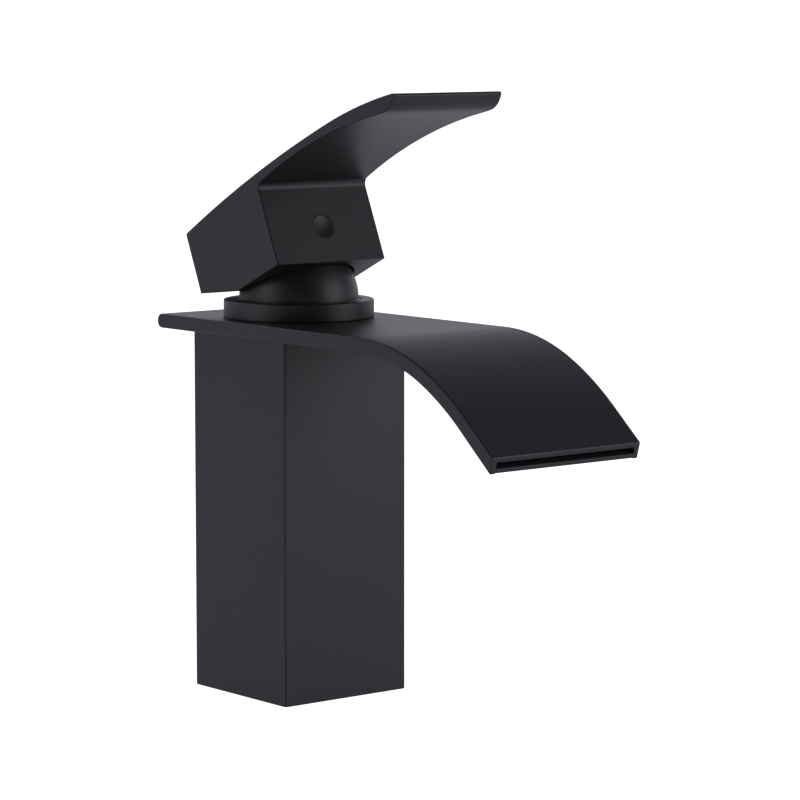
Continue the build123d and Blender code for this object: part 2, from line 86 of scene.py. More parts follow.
def round_corners(corners: list[tuple[float, float, float]], steps: int = 5) -> list[Point]:
    """A closed outline whose corners are rounded.

    Args:
        corners: Each corner's two places and its radius, where 0 keeps it sharp.
        steps: How many chords each round has.

    Returns:
        The outline's points, in the corners' own order.
    """
    outline: list[Point] = []
    for i, (x, y, radius) in enumerate(corners):
        here = Vector((x, y))
        if radius <= 0:
            outline.append((x, y))
            continue
        before = (Vector(corners[i - 1][:2]) - here).normalized()
        after = (Vector(corners[(i + 1) % len(corners)][:2]) - here).normalized()
        half = before.angle(after) / 2
        reach = radius / math.tan(half)
        middle = here + (before + after).normalized() * (radius / math.sin(half))
        first = here + before * reach - middle
        last = here + after * reach - middle
        turn = first.angle_signed(last)
        for k in range(steps + 1):
            spoke = first.copy()
            spoke.rotate(Matrix.Rotation(-turn * k / steps, 2))
            outline.append(tuple(middle + spoke))
    return outline


def new_piece(name: str, mesh: bpy.types.Mesh) -> Piece:
    """A linked object at the origin that holds a mesh.

    Args:
        name: The object's name.
        mesh: Its mesh.

    Returns:
        The new object.
    """
    piece = bpy.data.objects.new(name, mesh)
    bpy.context.scene.collection.objects.link(piece)
    return piece


def mesh_from(name: str, bm: bmesh.types.BMesh) -> Piece:
    """Turn a finished bmesh into an object.

    Args:
        name: The object's name.
        bm: The mesh, which is freed.

    Returns:
        The new object.
    """
    bmesh.ops.recalc_face_normals(bm, faces=bm.faces)
    mesh = bpy.data.meshes.new(name)
    bm.to_mesh(mesh)
    bm.free()
    return new_piece(name, mesh)


def weave(bm: bmesh.types.BMesh, rings: list[list[bmesh.types.BMVert]]) -> None:
    """Span a strip of faces between each ring and the next.

    Args:
        bm: The mesh that the rings are in.
        rings: Closed rings with the same number of points each.
    """
    count = len(rings[0])
    for a, b in zip(rings, rings[1:]):
        for i in range(count):
            j = (i + 1) % count
            bm.faces.new((a[i], a[j], b[j], b[i]))


def ring_solid(name: str, rings: list[list[Vector]]) -> Piece:
    """A closed solid whose skin passes through rings of points, the last joined to the first.

    Args:
        name: The object's name.
        rings: Rings with the same number of points each.

    Returns:
        The new object.
    """
    bm = bmesh.new()
    verts = [[bm.verts.new(p) for p in ring] for ring in rings]
    weave(bm, verts + verts[:1])
    return mesh_from(name, bm)


def inset(outline: list[Point], depth: float) -> list[Point]:
    """Move each side of a closed outline inwards.

    Args:
        outline: The outline's points, clockwise.
        depth: How far the sides move.

    Returns:
        The smaller outline, point for point.
    """
    moved: list[Point] = []
    for i, here in enumerate(outline):
        before = Vector(here) - Vector(outline[i - 1])
        after = Vector(outline[(i + 1) % len(outline)]) - Vector(here)
        first = Vector((before.y, -before.x)).normalized()
        second = Vector((after.y, -after.x)).normalized()
        step = (first + second) * (depth / (1 + first.dot(second)))
        moved.append((here[0] + step.x, here[1] + step.y))
    return moved


def slab(name: str, outline: list[Point], half_width: float, edge: float = 0.0,
         segments: int = 4) -> Piece:
    """A plate with a side outline, spread across X, with its side edges rounded.

    Args:
        name: The object's name.
        outline: The side outline, clockwise, as forward and height in millimetres.
        half_width: Half the width across X, in millimetres.
        edge: The radius of the rounded side edges, in millimetres.
        segments: How many chords the rounded edges have.

    Returns:
        The new object, in metres, with forward along -Y.
    """
    turns = [QUARTER * k / segments for k in range(segments + 1)] if edge else [QUARTER]
    half = [(half_width - edge * (1 - math.sin(turn)), inset(outline, edge * (1 - math.cos(turn))))
            for turn in turns]
    layers = [(-x, loop) for x, loop in reversed(half)] + half
    bm = bmesh.new()
    rings = [[bm.verts.new((x * MM, -f * MM, z * MM)) for f, z in loop] for x, loop in layers]
    weave(bm, rings)
    bm.faces.new(rings[0])
    bm.faces.new(list(reversed(rings[-1])))
    return mesh_from(name, bm)


def evaluated(piece: Piece) -> Piece:
    """Freeze a piece's modifiers into its mesh and remove them.

    Args:
        piece: The piece.

    Returns:
        The same piece, with its new mesh.
    """
    graph = bpy.context.evaluated_depsgraph_get()
    mesh = bpy.data.meshes.new_from_object(piece.evaluated_get(graph), depsgraph=graph)
    piece.modifiers.clear()
    piece.data = mesh
    return piece


def join(piece: Piece, tool: Piece, how: str = "DIFFERENCE") -> None:
    """Cut one piece with another or add it, and remove the other.

    Args:
        piece: What is worked on.
        tool: The shape taken away or added.
        how: DIFFERENCE cuts and UNION adds.
    """
    boolean = piece.modifiers.new("join", "BOOLEAN")
    boolean.operation = how
    boolean.solver = "EXACT"
    boolean.object = tool
    evaluated(piece)
    bpy.data.objects.remove(tool)


def rod(radius: float, length: float, matrix: Matrix, segments: int) -> Piece:
    """A plain cylinder, used as a cutter.

    Args:
        radius: Its radius, in millimetres.
        length: Its length, in millimetres.
        matrix: Where its middle goes, and how it is turned.
        segments: How many sides it has.

    Returns:
        The cylinder.
    """
    bm = bmesh.new()
    bmesh.ops.create_cone(bm, cap_ends=True, segments=segments, radius1=radius * MM,
                          radius2=radius * MM, depth=length * MM, matrix=matrix)
    return mesh_from("cutter", bm)


def smooth(piece: Piece, sharp: float = 32.0) -> Piece:
    """Shade a piece smooth, with creases kept where faces meet at more than an angle.

    Args:
        piece: The piece.
        sharp: The smallest angle of a crease, in degrees.

    Returns:
        The piece.
    """
    bm = bmesh.new()
    bm.from_mesh(piece.data)
    bmesh.ops.remove_doubles(bm, verts=bm.verts, dist=WELD)
    bmesh.ops.dissolve_degenerate(bm, edges=bm.edges, dist=WELD)
    bmesh.ops.recalc_face_normals(bm, faces=bm.faces)
    for face in bm.faces:
        face.smooth = True
    for edge in bm.edges:
        edge.smooth = not (len(edge.link_faces) == 2
                           and edge.calc_face_angle() > math.radians(sharp))
    bm.to_mesh(piece.data)
    bm.free()
    weighted = piece.modifiers.new("weighted", "WEIGHTED_NORMAL")
    weighted.keep_sharp = True
    return evaluated(piece)


def place(piece: Piece, matrix: Matrix) -> None:
    """Move a piece's mesh, so that its object stays at the origin."""
    piece.data.transform(matrix)


# ------------------------------------------------------------------ finishes


class Wiring:
    """A node tree in the making."""

    def __init__(self, tree: bpy.types.NodeTree) -> None:
        """Take an emptied tree over."""
        self.tree = tree
        self.tree.nodes.clear()

    def add(self, kind: str, **values: object) -> Node:
        """Add a node.

        Args:
            kind: The node's type.
            values: Its settings, or the values of its inputs, with _ for a space.

        Returns:
            The node.
        """
        node = self.tree.nodes.new(kind)
        for key, value in values.items():
            if hasattr(node, key):
                setattr(node, key, value)
            else:
                node.inputs[key.replace("_", " ")].default_value = value
        return node

    def link(self, source: Node, out: str | int, target: Node, into: str | int) -> None:
        """Join one node's output to another's input.

        Args:
            source: The node that gives.
            out: Its output.
            target: The node that takes.
            into: Its input.
        """
        self.tree.links.new(source.outputs[out], target.inputs[into])

    def ramp(self, source: Node, stops: tuple[tuple[float, Triple], ...],
             blend: str = "LINEAR") -> Node:
        """Map a node's first output onto colours.

        Args:
            source: The node that is read.
            stops: Each colour's position and tone.
            blend: How the colours run into each other.

        Returns:
            The ramp, whose output is Color.
        """
        ramp = self.add("ShaderNodeValToRGB")
        ramp.color_ramp.interpolation = blend
        elements = ramp.color_ramp.elements
        while len(elements) < len(stops):
            elements.new(0.5)
        for element, (position, tone) in zip(elements, stops):
            element.position = position
            element.color = (*tone, 1)
        self.link(source, 0, ramp, "Fac")
        return ramp

    def ranged(self, source: Node, out: str | int, spread: Point, onto: Point) -> Node:
        """Map a range onto another.

        Args:
            source: The node that is read.
            out: Its output.
            spread: The two ends of what it gives.
            onto: What the two ends become.

        Returns:
            The mapping node, whose output is Result.
        """
        mapped = self.add("ShaderNodeMapRange", From_Min=spread[0], From_Max=spread[1],
                          To_Min=onto[0], To_Max=onto[1])
        self.link(source, out, mapped, "Value")
        return mapped


class Bench(Wiring):
    """A material's tree in the making."""

    def __init__(self, name: str) -> None:
        """Start a material with an empty tree.

        Args:
            name: The material's name.
        """
        self.material = bpy.data.materials.new(name)
        self.material.use_nodes = True
        super().__init__(self.material.node_tree)
        self.shader = self.add("ShaderNodeBsdfPrincipled")
        self.link(self.shader, "BSDF", self.add("ShaderNodeOutputMaterial"), "Surface")
        self.place = self.add("ShaderNodeTexCoord")

    def noise(self, scale: float, detail: float = 2.0, roughness: float = 0.5,
              stretch: Triple = (1, 1, 1)) -> Node:
        """A noise read in the piece's own coordinates.

        Args:
            scale: Cells per metre.
            detail: How many finer layers it has.
            roughness: How strong the finer layers are.
            stretch: How the pattern is squeezed along each axis.

        Returns:
            The noise node.
        """
        mapping = self.add("ShaderNodeMapping", Scale=stretch)
        self.link(self.place, "Object", mapping, "Vector")
        noise = self.add("ShaderNodeTexNoise", Scale=scale, Detail=detail, Roughness=roughness)
        self.link(mapping, "Vector", noise, "Vector")
        return noise

    def tint(self, source: Node, first: Triple, second: Triple) -> None:
        """Colour the shader between two tones by a noise.

        Args:
            source: The noise.
            first: The tone where the noise is low.
            second: The tone where it is high.
        """
        tones = self.ramp(source, ((0.35, first), (0.65, second)))
        self.link(tones, "Color", self.shader, "Base Color")

    def bumps(self, *layers: tuple[Node, float, float]) -> None:
        """Stack relief layers on the shader.

        Args:
            layers: Each layer's noise, strength and height in metres.
        """
        below = None
        for source, strength, height in layers:
            bump = self.add("ShaderNodeBump", Strength=strength, Distance=height)
            self.link(source, 0, bump, "Height")
            if below:
                self.link(below, "Normal", bump, "Normal")
            below = bump
        self.link(below, "Normal", self.shader, "Normal")

    def rough(self, source: Node, gloss: Point) -> None:
        """Let a noise drive the roughness.

        Args:
            source: The noise.
            gloss: The roughness where it is low and where it is high.
        """
        self.link(self.ranged(source, 0, (0.3, 0.7), gloss), "Result", self.shader, "Roughness")

    def set(self, **values: object) -> None:
        """Set the shader's own constant inputs.

        Args:
            values: The inputs' values by name, with _ for a space.
        """
        for key, value in values.items():
            self.shader.inputs[key.replace("_", " ")].default_value = value


@dataclass(frozen=True)
class PowderCoat:
    """Baked matte paint: two close tones, a faint orange peel and a fine grain."""

    name: str
    dark: Triple = (0.0068, 0.0072, 0.0090)
    light: Triple = (0.0082, 0.0088, 0.0108)
    gloss: Point = (0.40, 0.46)
    peel: float = 0.10
    grain: float = 0.16
    cloud_cells: float = 26.0
    peel_cells: float = 620.0
    grain_cells: float = 3600.0
    peel_height: float = 0.00006
    grain_height: float = 0.000012
    ior: float = 1.48

    def make(self) -> bpy.types.Material:
        """Build the material.

        Returns:
            The material.
        """
        bench = Bench(self.name)
        cloud = bench.noise(self.cloud_cells, 3.0)
        peel = bench.noise(self.peel_cells, 2.0)
        grain = bench.noise(self.grain_cells, 1.5, 0.6)
        bench.tint(cloud, self.dark, self.light)
        bench.rough(grain, self.gloss)
        bench.bumps((peel, self.peel, self.peel_height), (grain, self.grain, self.grain_height))
        bench.set(IOR=self.ior)
        return bench.material


@dataclass(frozen=True)
class TurnedMetal:
    """Bare machined metal: tool lines round the upright axis and cloudy tarnish."""

    name: str
    dark: Triple
    light: Triple
    gloss: Point = (0.22, 0.40)
    lines: float = 1500.0
    tarnish_cells: float = 90.0
    along_lines: float = 0.06
    line_depth: float = 0.00002

    def make(self) -> bpy.types.Material:
        """Build the material.

        Returns:
            The material.
        """
        bench = Bench(self.name)
        tarnish = bench.noise(self.tarnish_cells, 4.0, 0.6)
        tool = bench.noise(self.lines, 2.0, 0.6, (self.along_lines, self.along_lines, 1.0))
        bench.tint(tarnish, self.dark, self.light)
        bench.rough(tarnish, self.gloss)
        bench.bumps((tool, 0.35, self.line_depth))
        bench.set(Metallic=1.0)
        return bench.material


@dataclass(frozen=True)
class Moulded:
    """Moulded plastic or rubber: an even tone with mottling and a spark-eroded skin."""

    name: str
    dark: Triple
    light: Triple
    gloss: Point = (0.38, 0.50)
    skin: float = 0.25
    cells: float = 1400.0
    ior: float = 1.5
    mottle_cells: float = 120.0
    skin_depth: float = 0.00003

    def make(self) -> bpy.types.Material:
        """Build the material.

        Returns:
            The material.
        """
        bench = Bench(self.name)
        mottle = bench.noise(self.mottle_cells, 3.0)
        skin = bench.noise(self.cells, 2.0, 0.6)
        bench.tint(mottle, self.dark, self.light)
        bench.rough(skin, self.gloss)
        bench.bumps((skin, self.skin, self.skin_depth))
        bench.set(IOR=self.ior)
        return bench.material


class Finish(Enum):
    """The finishes that the mixer's pieces take, by the record's slot names."""

    MATTE_BLACK = "matte_black"
    MATTE_BLACK_CAP = "matte_black_cap"
    BRASS = "brass"
    STEEL = "steel"
    CERAMIC = "ceramic"
    GREY_PLASTIC = "grey_plastic"
    BLUE_PLASTIC = "blue_plastic"
    RUBBER = "rubber"


RECIPES = {
    Finish.MATTE_BLACK: PowderCoat("matte_black_powder_coat"),
    Finish.MATTE_BLACK_CAP: Moulded("matte_black_cap", (0.012, 0.012, 0.0135),
                                    (0.015, 0.015, 0.017), (0.44, 0.50), 0.12, 2600.0, 1.46),
    Finish.BRASS: TurnedMetal("machined_brass", (0.62, 0.44, 0.19), (0.80, 0.62, 0.30)),
    Finish.STEEL: TurnedMetal("stainless_steel", (0.50, 0.50, 0.50), (0.66, 0.66, 0.67),
                              (0.20, 0.34), 2400.0),
    Finish.CERAMIC: Moulded("lapped_ceramic", (0.80, 0.78, 0.73), (0.90, 0.89, 0.85),
                            (0.12, 0.22), 0.05, 900.0, 1.75),
    Finish.GREY_PLASTIC: Moulded("off_white_acetal", (0.66, 0.66, 0.62), (0.78, 0.78, 0.74)),
    Finish.BLUE_PLASTIC: Moulded("blue_acetal", (0.06, 0.13, 0.28), (0.09, 0.18, 0.36)),
    Finish.RUBBER: Moulded("seal_rubber", (0.010, 0.010, 0.010), (0.022, 0.022, 0.021),
                           (0.55, 0.75), 0.30, 2200.0),
}


class PaintShop:
    """Makes each finish once and puts it on pieces."""

    def __init__(self) -> None:
        """Make every finish."""
        self.made = {finish: recipe.make() for finish, recipe in RECIPES.items()}

    def dress(self, piece: Piece, finish: Finish) -> None:
        """Give a piece one finish all over.

        Args:
            piece: The piece.
            finish: Its finish.
        """
        piece.data.materials.clear()
        piece.data.materials.append(self.made[finish])

    def dress_frame(self) -> None:
        """Give every carried-over CAD node the finish of its slot in the record."""
        for part in frame["record"]["subparts"]:
            self.dress(frame["nodes"][part["node"]], Finish(part["material_slot"]))

    def deliver(self, piece: Piece, finish: Finish, body: str, *stands_for: str) -> None:
        """Dress a new piece, fix it to its body and let it stand for CAD nodes.

        Args:
            piece: The finished piece.
            finish: Its finish.
            body: The CAD body that it moves with.
            stands_for: The CAD nodes that it replaces.
        """
        self.dress(piece, finish)
        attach(piece, body)
        if stands_for:
            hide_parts(*stands_for)
        LOG.info("%s: %d faces, on body %s", piece.name, len(piece.data.polygons), body)


# ------------------------------------------------------------- geometry trees


class Rule(Wiring):
    """A geometry-node tree with named inputs, laid over a piece and then frozen."""

    def __init__(self, name: str, inputs: dict[str, tuple[str, object]]) -> None:
        """Start a tree.

        Args:
            name: The tree's name.
            inputs: Each input's socket type and first value, by its name.
        """
        super().__init__(bpy.data.node_groups.new(name, "GeometryNodeTree"))
        side = self.tree.interface
        side.new_socket("Geometry", in_out="INPUT", socket_type="NodeSocketGeometry")
        side.new_socket("Geometry", in_out="OUTPUT", socket_type="NodeSocketGeometry")
        self.sockets: dict[str, str] = {}
        for label, (kind, first) in inputs.items():
            socket = side.new_socket(label, in_out="INPUT", socket_type=f"NodeSocket{kind}")
            if first is not None:
                socket.default_value = first
            self.sockets[label] = socket.identifier
        self.given = self.tree.nodes.new("NodeGroupInput")
        self.result = self.tree.nodes.new("NodeGroupOutput")

    def feed(self, node: Node, into: str | int, value: object) -> None:
        """Give an input a number, a group input by name, or another node's output.

        Args:
            node: The node that takes it.
            into: The input.
            value: A plain value, a socket, or the name of a group input.
        """
        if isinstance(value, str):
            value = self.given.outputs[value]
        if isinstance(value, Socket):
            self.tree.links.new(value, node.inputs[into])
        else:
            node.inputs[into].default_value = value

    def fed(self, kind: str, **values: object) -> Node:
        """Add a node and feed its inputs.

        Args:
            kind: The node's type.
            values: What feed takes for each input, by its name with _ for a space.

        Returns:
            The node.
        """
        node = self.add(kind)
        for into, value in values.items():
            self.feed(node, into.replace("_", " "), value)
        return node

    def math(self, operation: str, *values: object) -> Socket:
        """A sum of numbers.

        Args:
            operation: The kind of sum, in Blender's own word.
            values: Its numbers, sockets or names of group inputs.

        Returns:
            The result's socket.
        """
        node = self.add("ShaderNodeMath", operation=operation)
        for i, value in enumerate(values):
            self.feed(node, i, value)
        return node.outputs[0]

    def clamp(self, value: object, high: object) -> Socket:
        """A number kept between zero and a highest value."""
        return self.math("MINIMUM", self.math("MAXIMUM", value, 0.0), high)

    def split(self, vector: object) -> list[Socket]:
        """The three parts of a vector.

        Args:
            vector: The vector's socket.

        Returns:
            One socket for each part.
        """
        node = self.add("ShaderNodeSeparateXYZ")
        self.feed(node, 0, vector)
        return list(node.outputs)

    def vector(self, *parts: object) -> Socket:
        """A vector made of three numbers.

        Args:
            parts: The numbers, sockets or names of group inputs.

        Returns:
            The vector's socket.
        """
        node = self.add("ShaderNodeCombineXYZ")
        for i, value in enumerate(parts):
            self.feed(node, i, value)
        return node.outputs[0]

    def close(self, geometry: Socket) -> None:
        """End the tree: instances made real, then the material.

        Args:
            geometry: What the tree has made.
        """
        real = self.fed("GeometryNodeRealizeInstances", Geometry=geometry)
        paint = self.fed("GeometryNodeSetMaterial", Geometry=real.outputs[0], Material="Material")
        self.tree.links.new(paint.outputs[0], self.result.inputs[0])

    def apply(self, piece: Piece, **values: object) -> Piece:
        """Lay the tree over a piece, set its inputs and freeze the result.

        Args:
            piece: The piece, whose mesh is the tree's geometry.
            values: The inputs, with _ for a space.

        Returns:
            The piece, with a plain mesh and no modifier.
        """
        modifier = piece.modifiers.new(self.tree.name, "NODES")
        modifier.node_group = self.tree
        for key, value in values.items():
            modifier[self.sockets[key.replace("_", " ")]] = value
        return evaluated(piece)


def bend_rule() -> Rule:
    """The rule that lets a flat blank fall along two arcs and a straight tip.

    The blank lies along -Y with its top at a height of zero.  A point's way
    along the blank and its depth below the top are kept, while the line that
    it lies on turns down.

    Returns:
        The finished tree.
    """
    rule = Rule("falling plate", {
        "Top": ("Float", 0.0), "Start": ("Float", 0.0), "Fall Radius": ("Float", 0.0),
        "Fall Angle": ("Float", 0.0), "Run Radius": ("Float", 0.0),
        "Run Angle": ("Float", 0.0), "Material": ("Material", None)})
    across, back, up = rule.split(rule.add("GeometryNodeInputPosition").outputs[0])
    way = rule.math("MULTIPLY", back, -1.0)
    depth = rule.math("MULTIPLY", up, -1.0)
    fall_length = rule.math("MULTIPLY", "Fall Radius", "Fall Angle")
    run_length = rule.math("MULTIPLY", "Run Radius", "Run Angle")
    past_start = rule.math("SUBTRACT", way, "Start")
    past_fall = rule.math("SUBTRACT", past_start, fall_length)
    fallen = rule.clamp(rule.math("DIVIDE", past_start, "Fall Radius"), "Fall Angle")
    turned = rule.clamp(rule.math("DIVIDE", past_fall, "Run Radius"), "Run Angle")
    rest = rule.math("MAXIMUM", rule.math("SUBTRACT", past_fall, run_length), 0.0)
    slope = rule.math("ADD", fallen, turned)
    sine, cosine = rule.math("SINE", slope), rule.math("COSINE", slope)
    sine_fall, cosine_fall = rule.math("SINE", fallen), rule.math("COSINE", fallen)

    def total(*terms: Socket) -> Socket:
        """Add several numbers up.

        Args:
            terms: The numbers' sockets.

        Returns:
            The total's socket.
        """
        value = terms[0]
        for term in terms[1:]:
            value = rule.math("ADD", value, term)
        return value

    forward = total(
        rule.math("MINIMUM", way, "Start"),
        rule.math("MULTIPLY", "Fall Radius", sine_fall),
        rule.math("MULTIPLY", "Run Radius", rule.math("SUBTRACT", sine, sine_fall)),
        rule.math("MULTIPLY", rest, cosine))
    drop = total(
        rule.math("MULTIPLY", "Fall Radius", rule.math("SUBTRACT", 1.0, cosine_fall)),
        rule.math("MULTIPLY", "Run Radius", rule.math("SUBTRACT", cosine_fall, cosine)),
        rule.math("MULTIPLY", rest, sine),
        rule.math("MULTIPLY", depth, cosine))
    forward = rule.math("SUBTRACT", forward, rule.math("MULTIPLY", depth, sine))
    position = rule.vector(across, rule.math("MULTIPLY", forward, -1.0),
                           rule.math("SUBTRACT", "Top", drop))
    moved = rule.fed("GeometryNodeSetPosition", Geometry=rule.given.outputs[0], Position=position)
    rule.close(moved.outputs[0])
    return rule


def turned_rule() -> Rule:
    """The rule that turns an outline round the upright axis, as on a lathe.

    The outline's points are given as a mesh of loose points, with the radius
    along X and the height along Z.  Each column of a grid takes the outline's
    points in order, and each row is carried round by its share of a turn.

    Returns:
        The finished tree.
    """
    rule = Rule("turned part", {
        "Points": ("Int", 2), "Columns": ("Int", 96), "Weld": ("Float", 1e-6),
        "Material": ("Material", None)})
    grid = rule.fed("GeometryNodeMeshGrid", Vertices_X=rule.math("ADD", "Columns", 1.0),
                    Vertices_Y="Points")
    index = rule.add("GeometryNodeInputIndex").outputs[0]
    along = rule.math("FLOORED_MODULO", index, "Points")
    around = rule.math("FLOOR", rule.math("DIVIDE", rule.math("ADD", index, 0.5), "Points"))
    share = rule.math("DIVIDE", rule.math("FLOORED_MODULO", around, "Columns"), "Columns")
    angle = rule.math("MULTIPLY", share, math.tau)
    sample = rule.add("GeometryNodeSampleIndex", data_type="FLOAT_VECTOR", domain="POINT")
    rule.feed(sample, "Geometry", rule.given.outputs[0])
    rule.feed(sample, "Value", rule.add("GeometryNodeInputPosition").outputs[0])
    rule.feed(sample, "Index", along)
    radius, _, height = rule.split(sample.outputs[0])
    position = rule.vector(rule.math("MULTIPLY", radius, rule.math("COSINE", angle)),
                           rule.math("MULTIPLY", radius, rule.math("SINE", angle)), height)
    moved = rule.fed("GeometryNodeSetPosition", Geometry=grid.outputs["Mesh"], Position=position)
    weld = rule.fed("GeometryNodeMergeByDistance", Geometry=moved.outputs[0], Distance="Weld")
    rule.close(weld.outputs[0])
    return rule


def thread_rule() -> Rule:
    """The rule that winds a screw thread's ridge up a bore.

    Returns:
        The finished tree.
    """
    rule = Rule("thread ridge", {
        "Radius": ("Float", 0.004), "Pitch": ("Float", 0.001), "Turns": ("Float", 8.0),
        "Ridge": ("Float", 0.0003), "Steps": ("Int", 48), "Place": ("Vector", (0, 0, 0)),
        "Material": ("Material", None)})
    spiral = rule.fed("GeometryNodeCurveSpiral", Resolution="Steps", Rotations="Turns",
                      Start_Radius="Radius", End_Radius="Radius",
                      Height=rule.math("MULTIPLY", "Pitch", "Turns"))
    profile = rule.fed("GeometryNodeCurvePrimitiveCircle", Resolution=3, Radius="Ridge")
    ridge = rule.fed("GeometryNodeCurveToMesh", Curve=spiral.outputs[0],
                     Profile_Curve=profile.outputs[0], Fill_Caps=True)
    moved = rule.fed("GeometryNodeTransform", Geometry=ridge.outputs[0], Translation="Place")
    rule.close(moved.outputs[0])
    return rule


@dataclass
class Lathe:
    """Turns closed outlines into round solids with the turning rule."""

    paint: PaintShop
    columns: int = 128

    def __post_init__(self) -> None:
        """Build the tree once."""
        self.rule = turned_rule()

    def turn(self, name: str, outline: list[Point], finish: Finish) -> Piece:
        """Turn a closed outline round the upright axis.

        Args:
            name: The piece's name.
            outline: Radius and height of each point, in millimetres.
            finish: The finish set by the tree.

        Returns:
            The turned piece, in metres.
        """
        mesh = bpy.data.meshes.new(name)
        closed = outline + outline[:1]
        mesh.from_pydata([(r * MM, 0, z * MM) for r, z in closed], [], [])
        piece = self.rule.apply(new_piece(name, mesh), Points=len(closed),
                                Columns=self.columns, Material=self.paint.made[finish])
        return smooth(piece)


# --------------------------------------------------------------- the column


@dataclass
class Column:
    """The square tube that stands on the deck, in millimetres."""

    paint: PaintShop
    side: float = 45.0
    bore: float = 40.6
    height: float = 107.7
    edge: float = 0.6
    foot_bore: float = 42.0
    foot_step: float = 6.0
    foot_edge: float = 0.3
    inner_edge: float = 0.1

    def ring(self, side: float, edge: float, height: float) -> list[Vector]:
        """A square with rounded corners at a height.

        Args:
            side: Its side.
            edge: The radius of its corners.
            height: Its height.

        Returns:
            Its points, in metres.
        """
        half = side / 2
        corners = [(half, half, edge), (-half, half, edge), (-half, -half, edge),
                   (half, -half, edge)]
        return [Vector((x, y, height)) * MM for x, y in round_corners(corners, 6)]

    def build(self) -> None:
        """Make the casing and put it in place of its solid."""
        skin = [(self.side - 2 * self.foot_edge, self.edge, 0.0),
                (self.side - 0.6 * self.foot_edge, self.edge, 0.3 * self.foot_edge),
                (self.side, self.edge, self.foot_edge),
                (self.side, self.edge, self.height),
                (self.bore, self.inner_edge, self.height),
                (self.bore, self.inner_edge, self.foot_step),
                (self.foot_bore, self.inner_edge, self.foot_step),
                (self.foot_bore, self.inner_edge, 0.0)]
        casing = smooth(ring_solid("column_shell", [self.ring(*level) for level in skin]))
        self.paint.deliver(casing, Finish.MATTE_BLACK, "body", "column_casing")


# ---------------------------------------------------------------- the spout


